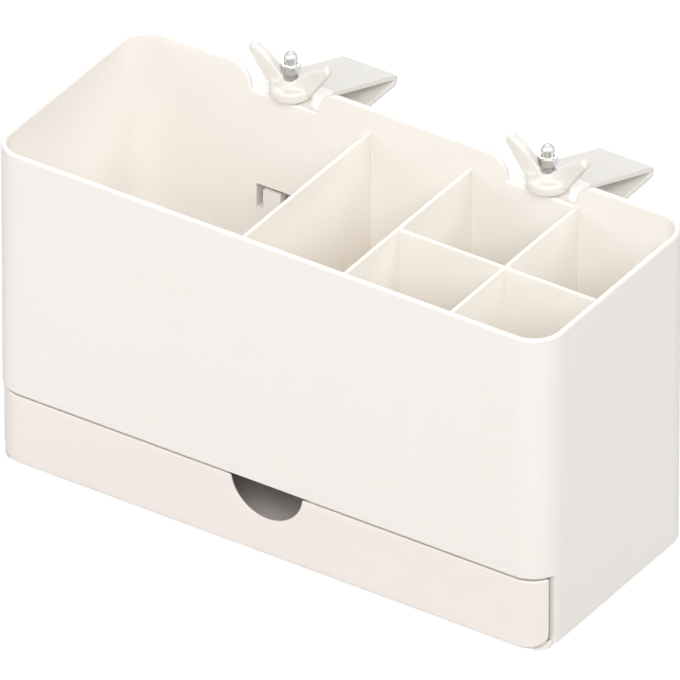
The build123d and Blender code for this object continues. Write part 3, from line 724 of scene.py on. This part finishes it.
@dataclass
class WingNut:
    """A plastic wing nut: a round grip disc and two upswept wings that flow into it."""

    side: Side
    finishes: Finishes
    disc_radius: float = 10.0 * MM
    disc: float = 5.6 * MM
    disc_round: float = 1.4 * MM
    hub_radius: float = 5.6 * MM
    hub_top_radius: float = 4.7 * MM
    hub_height: float = 8.6 * MM
    wing: float = 4.8 * MM
    wing_edge: float = 1.3 * MM
    wing_outline: tuple[tuple[float, float], ...] = (
        (2.5 * MM, 1.5 * MM),
        (2.5 * MM, 8.9 * MM),
        (12.4 * MM, 17.4 * MM),
        (20.3 * MM, 21.7 * MM),
        (22.2 * MM, 18.3 * MM),
        (12.6 * MM, 4.3 * MM),
        (9.6 * MM, 1.5 * MM),
    )
    bend_radius: float = 6.8 * MM
    tip_radius: float = 1.7 * MM
    edge_steps: int = 6
    voxel: float = 0.36 * MM
    smoothing: int = 7
    smoothing_share: float = 0.5
    pocket_radius: float = 3.45 * MM
    pocket_foot: float = 1.2 * MM
    pocket_around: int = 64
    stud_radius: float = 2.8 * MM
    stud_around: int = 48
    sharp_degrees: float = 50.0

    def make(self) -> bpy.types.Object:
        """Builds the nut over its solid.

        Returns:
            The nut, riding on its body.
        """
        node = f"{self.side.value}_wing_nut"
        low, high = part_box(node)
        foot = Vector(((low.x + high.x) / 2, (low.y + high.y) / 2, low.z))
        nut = joined(f"{node}_moulding", [self.grip(foot), self.hub(foot), *self.wings(foot)])
        union = nut.modifiers.new("union", "REMESH")
        union.mode = "VOXEL"
        union.voxel_size = self.voxel
        flow = nut.modifiers.new("flow", "SMOOTH")
        flow.factor = self.smoothing_share
        flow.iterations = self.smoothing
        settle(nut)
        top = max(height for _, height in self.wing_outline)
        pocket = [(self.pocket_radius, self.pocket_foot), (self.pocket_radius, top)]
        hole = [(self.stud_radius, -self.disc), (self.stud_radius, self.disc)]
        cut(nut, lathe("pocket", pocket, foot, self.pocket_around))
        cut(nut, lathe("hole", hole, foot, self.stud_around))
        smooth_by_angle(nut, self.sharp_degrees)
        paint(nut, self.finishes.clamp_plastic)
        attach(nut, f"{self.side.value}_nut")
        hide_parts(node)
        return nut

    def grip(self, foot: Vector) -> bpy.types.Mesh:
        """The disc under the wings.

        Args:
            foot: the middle of the nut's lower face.

        Returns:
            A closed mesh.
        """
        inner = self.disc_radius - self.disc_round
        profile = arc((inner, self.disc_round), self.disc_round, -90, 0)
        profile += arc((inner, self.disc - self.disc_round), self.disc_round, 0, 90)
        return lathe("grip", profile, foot)

    def hub(self, foot: Vector) -> bpy.types.Mesh:
        """The slightly tapered barrel round the metal insert."""
        profile = [(self.hub_radius, self.disc / 2), (self.hub_top_radius, self.hub_height)]
        return lathe("hub", profile, foot)

    def wings(self, foot: Vector) -> list[bpy.types.Mesh]:
        """Both wings, each as a plate with a round tip and rounded edges.

        Args:
            foot: the middle of the nut's lower face.

        Returns:
            Two closed meshes.
        """
        radii = [0.0, 0.0, self.bend_radius, self.tip_radius, self.tip_radius, 0.0, 0.0]
        outline = np.array(rounded(list(self.wing_outline), radii))
        outward = mitred_normals(outline)
        steps = self.edge_steps
        turn = np.radians(np.concatenate((np.linspace(-90, 0, steps), np.linspace(0, 90, steps))))
        half = np.repeat((-1, 1), steps) * (self.wing / 2 - self.wing_edge)
        plates = []
        for way in (-1, 1):
            rings = np.empty((len(turn), len(outline), 3))
            inset = self.wing_edge * (1 - np.cos(turn))[:, None, None] * outward
            rings[..., 0] = foot.x + way * (outline - inset)[..., 0]
            rings[..., 1] = foot.y + (half + self.wing_edge * np.sin(turn))[:, None]
            rings[..., 2] = foot.z + (outline - inset)[..., 1]
            plates.append(skin("wing", rings))
        return plates


@dataclass
class CapNut:
    """A domed nut with a chamfered hexagon."""

    side: Side
    finishes: Finishes
    flats: float = 8.0 * MM
    hexagon: float = 4.0 * MM
    corner_cut: float = 0.6 * MM
    slope: float = math.radians(30)
    dome_radius: float = 3.0 * MM
    foot_round: float = 0.45 * MM
    around: int = 144
    foot_steps: int = 5
    dome_steps: int = 18
    dome_end_degrees: float = 88.0
    sharp_degrees: float = 20.0

    def make(self) -> bpy.types.Object:
        """Builds the nut over its solid.

        Returns:
            The nut, riding on its body.
        """
        node = f"{self.side.value}_cap_nut"
        low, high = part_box(node)
        centre = Vector(((low.x + high.x) / 2, (low.y + high.y) / 2, low.z))
        height = high.z - low.z
        turn = np.linspace(0, FULL_TURN, self.around, endpoint=False)
        sixth = FULL_TURN / HEX_SIDES
        flank = self.flats / 2 / np.cos((turn + sixth / 2) % sixth - sixth / 2)
        cone = self.flats / 2 / math.cos(sixth / 2) - self.corner_cut
        edge = np.minimum(flank, cone)
        drop = np.maximum(flank - cone, 0) * math.tan(self.slope)
        plain = np.ones_like(turn)
        rows = [(edge, 0 * plain), (flank, drop), (flank, self.hexagon - drop), (edge, self.hexagon * plain)]
        neck = (self.dome_radius + self.foot_round, self.hexagon + self.foot_round)
        round_part = arc(neck, self.foot_round, -90, -180, self.foot_steps)
        dome = (0, height - self.dome_radius)
        round_part += arc(dome, self.dome_radius, 0, self.dome_end_degrees, self.dome_steps)
        rows += [(radius * plain, level * plain) for radius, level in round_part]
        radii, levels = np.array(rows).transpose(1, 0, 2)
        cap = show(f"{node}_polished", skin("cap", turned(centre, radii, levels, turn)))
        smooth_by_angle(cap, self.sharp_degrees)
        paint(cap, self.finishes.cap_chrome)
        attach(cap, f"{self.side.value}_jaw")
        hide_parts(node)
        return cap


@dataclass
class ClampBolt:
    """The long screw with its rolled thread and hammer head."""

    side: Side
    finishes: Finishes
    major_radius: float = 2.49 * MM
    thread_depth: float = 0.43 * MM
    pitch: float = 0.8 * MM
    head_width: float = 12.0 * MM
    head_depth: float = 5.0 * MM
    head_height: float = 3.5 * MM
    head_chamfer: float = 0.5 * MM
    ridge_height: float = 1.15
    ridge_slope: float = 2.3
    rows_per_turn: int = 10
    around: int = 36
    sharp_degrees: float = 40.0

    def make(self) -> bpy.types.Object:
        """Builds the screw over its solid.

        Returns:
            The screw, riding on its body.
        """
        node = f"{self.side.value}_clamp_bolt"
        low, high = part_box(node)
        axis = Vector(((low.x + high.x) / 2, (low.y + high.y) / 2, low.z))
        bolt = joined(f"{node}_threaded", [self.shank(axis, high.z - low.z), self.head(axis)])
        smooth_by_angle(bolt, self.sharp_degrees)
        paint(bolt, self.finishes.screw_metal)
        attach(bolt, f"{self.side.value}_jaw")
        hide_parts(node)
        return bolt

    def shank(self, axis: Vector, length: float) -> bpy.types.Mesh:
        """The rod with a helical thread, which starts inside the head and runs out at the upper end.

        Args:
            axis: the middle of the screw's lower face.
            length: the whole screw's length.

        Returns:
            A closed mesh.
        """
        start = self.head_height / 2
        levels = np.linspace(start, length, int((length - start) / self.pitch * self.rows_per_turn))
        turn = np.linspace(0, FULL_TURN, self.around, endpoint=False)
        phase = (levels[:, None] / self.pitch - turn / FULL_TURN) % 1.0
        ridge = np.clip(self.ridge_height - self.ridge_slope * np.abs(phase - 0.5), 0, 1)
        ending = np.clip((length - levels) / self.pitch, 0, 1)[:, None]
        radius = self.major_radius - self.thread_depth * (1 - ridge * ending)
        return skin("shank", turned(axis, radius, levels[:, None], turn))

    def head(self, axis: Vector) -> bpy.types.Mesh:
        """The hammer head that is held in the slider.

        Args:
            axis: the middle of the screw's lower face.

        Returns:
            A closed mesh.
        """
        long, deep, edge = self.head_width / 2, self.head_depth / 2, self.head_chamfer
        corners = ((-1, -1), (1, -1), (1, 1), (-1, 1))
        levels = (0, edge, self.head_height - edge, self.head_height)
        rings = np.empty((len(levels), len(corners), 3))
        for ring, level, inset in zip(rings, levels, (edge, 0, 0, edge)):
            for point, (right, back) in zip(ring, corners):
                point[:] = axis + Vector((right * (long - inset), back * (deep - inset), level))
        return skin("head", rings)


@dataclass
class GripPad:
    """A rubber pad with ribs across its gripping face."""

    node: str
    body: str
    finishes: Finishes
    facing: int
    corner: float = 2.0 * MM
    edge: float = 0.35 * MM
    rib_pitch: float = 2.5 * MM
    rib_depth: float = 0.35 * MM
    steps_per_rib: int = 8
    points_across: int = 8
    sharp_degrees: float = 35.0

    def make(self) -> bpy.types.Object:
        """Builds the pad over its solid, with its ribs on the side that it faces.

        Returns:
            The pad, riding on its body.
        """
        low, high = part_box(self.node)
        wide, long = (high.x - low.x) / 2, (high.y - low.y) / 2
        middle = (low + high) / 2
        back, front = (low.z, high.z) if self.facing > 0 else (high.z, low.z)
        count = int(2 * long / self.rib_pitch) * self.steps_per_rib
        places = np.linspace(-long, long, count + 1)
        inside = np.clip(long - np.abs(places), 0, self.corner)
        half = wide - self.corner + np.sqrt(self.corner**2 - (self.corner - inside) ** 2)
        wave = 0.5 + 0.5 * np.cos(FULL_TURN * places / self.rib_pitch)
        rim = np.clip((long - np.abs(places)) / self.edge, 0, 1)
        crown = front - self.facing * (self.rib_depth * wave * rim + self.edge * (1 - rim))
        rings = np.empty((count + 1, self.points_across, 3))
        for ring, along, reach, top in zip(rings, places, half, crown):
            reach = max(reach, self.edge)
            inner = reach - self.edge
            step = self.facing * self.edge
            one_side = ((inner, back), (reach, back + step), (reach, top - step), (inner, top))
            other_side = tuple((-across, level) for across, level in reversed(one_side))
            outline = (other_side[-1], *one_side, *other_side[:-1])
            for point, (across, level) in zip(ring, outline):
                point[:] = (middle.x + across, middle.y + along, level)
        pad = show(f"{self.node}_ribbed", skin("pad", rings))
        smooth_by_angle(pad, self.sharp_degrees)
        paint(pad, self.finishes.pad_rubber)
        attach(pad, self.body)
        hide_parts(self.node)
        return pad


@dataclass
class Clamp:
    """One screw clamp, from the bracket behind the box to the jaw under the desk."""

    side: Side
    finishes: Finishes

    def dress(self) -> None:
        """Finishes the solids that show as they are, and builds the finer pieces."""
        name = self.side.value
        for node in (f"{name}_clamp_bracket", f"{name}_lower_jaw"):
            carry_over(node, self.finishes.clamp_plastic)
        for node in (f"{name}_washer", f"{name}_nut_insert"):
            carry_over(node, self.finishes.screw_metal)
        makers = (
            WingNut(self.side, self.finishes),
            CapNut(self.side, self.finishes),
            ClampBolt(self.side, self.finishes),
            GripPad(f"{name}_upper_pad", "organizer", self.finishes, facing=-1),
            GripPad(f"{name}_lower_pad", f"{name}_jaw", self.finishes, facing=1),
        )
        for maker in makers:
            piece = maker.make()
            log.info("%s: %d faces", piece.name, len(piece.data.polygons))


# ---------------------------------------------------------------- studio


@dataclass(frozen=True)
class Lamp:
    """A soft lamp that points at the object, or where it is aimed.

    Places and sizes are in metres. A lamp without a depth is square.
    """

    name: str
    place: tuple[float, float, float]
    size: float
    power: float
    colour: tuple[int, int, int] = (255, 255, 255)
    depth: float | None = None
    aim: tuple[float, float, float] | None = None

    def hang(self, target: Vector) -> None:
        """Hangs the lamp, out of the camera's sight.

        Args:
            target: the point that it faces, if it has no aim of its own.
        """
        light = bpy.data.lights.new(self.name, "AREA")
        light.shape = "RECTANGLE"
        light.size = self.size
        light.size_y = self.depth or self.size
        light.energy = self.power
        light.color = linear(*self.colour)[:3]
        lamp = bpy.data.objects.new(self.name, light)
        bpy.context.scene.collection.objects.link(lamp)
        lamp.visible_camera = False
        lamp.location = self.place
        towards = (Vector(self.aim) if self.aim else target) - lamp.location
        lamp.rotation_euler = towards.to_track_quat("-Z", "Y").to_euler()


def show_to_camera(sheet: Sheet, output: bpy.types.Node, real: bpy.types.Node, shown: bpy.types.Node) -> None:
    """Shows the camera another shader than the one that lights the object.

    Args:
        sheet: the tree's sheet.
        output: its output node.
        real: the shader that the other rays find.
        shown: the shader that the camera finds, directly or in metal and glass.
    """
    path = sheet.add("LightPath").outputs
    mirrored = sheet.math("MAXIMUM", path["Is Glossy Ray"], path["Is Transmission Ray"])
    choice = sheet.add("MixShader")
    sheet.feed(choice.inputs[0], sheet.math("MAXIMUM", path["Is Camera Ray"], mirrored))
    sheet.feed(choice.inputs[1], real.outputs[0])
    sheet.feed(choice.inputs[2], shown.outputs[0])
    sheet.feed(output.inputs["Surface"], choice.outputs[0])


@dataclass
class Studio:
    """The pale floor, the lamps and the camera, whose lens and sensor are in millimetres.

    The two dim warm lamps low in the compartments stand in for the light that the thin walls pass on.
    """

    azimuth: float = math.radians(33.44)
    elevation: float = math.radians(33.47)
    target: Vector = field(default_factory=lambda: Vector((40.67, -61.66, 132.94)) * MM)
    view_width: float = 305.35 * MM
    lens: float = 1600.0
    sensor: float = 36.0
    ambient: float = 0.02
    floor_size: float = 8.0
    floor_glow: float = 0.78
    floor_shade: float = 0.3
    floor_colour: tuple[int, int, int] = (188, 187, 185)
    sight: float = 40.0
    lamps_aim: tuple[float, float, float] = (0, 0, 0.1)
    lamps: tuple[Lamp, ...] = (
        Lamp("key", (2.49, -3.43, 4.34), size=3.6, power=227.0),
        Lamp("front", (-1.27, -4.75, 3.54), size=3.6, power=65.0),
        Lamp("right", (4.84, 0.85, 3.54), size=3.6, power=141.0),
        Lamp("low_left", (-3.5, -4.6, 1.6), size=3.0, power=92.0),
        Lamp("back", (-2.5, 3.5, 4.3), size=3.0, power=160.0),
        Lamp(
            "depths_left",
            (-0.084, 0.0, 0.046),
            size=0.118,
            power=0.002,
            colour=(255, 236, 214),
            depth=0.11,
            aim=(-0.084, 0.0, 1.0),
        ),
        Lamp(
            "depths_right",
            (0.06, 0.0, 0.046),
            size=0.165,
            power=0.0165,
            colour=(255, 238, 217),
            depth=0.11,
            aim=(0.06, 0.0, 1.0),
        ),
    )

    def build(self) -> None:
        """Builds the floor, lamps, world and camera."""
        self.lay_floor()
        for lamp in self.lamps:
            lamp.hang(Vector(self.lamps_aim))
        self.light_world()
        self.place_camera()
        bpy.context.scene.view_settings.view_transform = "Standard"

    def lay_floor(self) -> None:
        """Lays the floor, which shows white with a soft shadow."""
        half = self.floor_size / 2
        mesh = bpy.data.meshes.new("floor")
        corners = [(-half, -half, 0), (half, -half, 0), (half, half, 0), (-half, half, 0)]
        mesh.from_pydata(corners, [], [(0, 1, 2, 3)])
        floor = show("floor", mesh)
        material = bpy.data.materials.new("floor_white")
        material.use_nodes = True
        nodes = material.node_tree.nodes
        nodes.remove(nodes["Principled BSDF"])
        sheet = Sheet(material.node_tree)
        shade = self.floor_shade
        shadow = sheet.add("BsdfDiffuse", Color=(shade, shade, shade, 1.0))
        glow = sheet.add("Emission", Color=WHITE, Strength=self.floor_glow)
        shown = sheet.add("AddShader")
        sheet.feed(shown.inputs[0], shadow.outputs[0])
        sheet.feed(shown.inputs[1], glow.outputs[0])
        real = sheet.add("BsdfDiffuse", Color=linear(*self.floor_colour))
        show_to_camera(sheet, nodes["Material Output"], real, shown)
        floor.data.materials.append(material)

    def light_world(self) -> None:
        """Lights everything evenly, and shows white behind it."""
        world = bpy.data.worlds.new("studio")
        bpy.context.scene.world = world
        world.use_nodes = True
        sheet = Sheet(world.node_tree)
        nodes = world.node_tree.nodes
        light = nodes["Background"]
        light.inputs["Color"].default_value = WHITE
        light.inputs["Strength"].default_value = self.ambient
        white = sheet.add("Background", Color=WHITE, Strength=1.0)
        show_to_camera(sheet, nodes["World Output"], light, white)

    def place_camera(self) -> None:
        """Places the long-lens camera at the photograph's angle."""
        lens = bpy.data.cameras.new("camera")
        lens.lens = self.lens
        lens.sensor_width = self.sensor
        lens.clip_end = self.sight
        camera = bpy.data.objects.new("camera", lens)
        bpy.context.scene.collection.objects.link(camera)
        flat = math.cos(self.elevation)
        across, back = math.sin(self.azimuth) * flat, math.cos(self.azimuth) * flat
        towards = Vector((across, -back, math.sin(self.elevation)))
        camera.location = self.target + towards * (self.view_width * self.lens / self.sensor)
        camera.rotation_euler = (-towards).to_track_quat("-Z", "Y").to_euler()
        bpy.context.scene.camera = camera


def main() -> None:
    """Builds and dresses the object, then the studio."""
    logging.basicConfig(level=logging.INFO, format="%(name)s: %(message)s")
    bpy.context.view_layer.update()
    finishes = make_finishes()
    Box(finishes).dress()
    Drawer(finishes).dress()
    for side in Side:
        Clamp(side, finishes).dress()
    Studio().build()


if __name__ == "__main__":
    main()
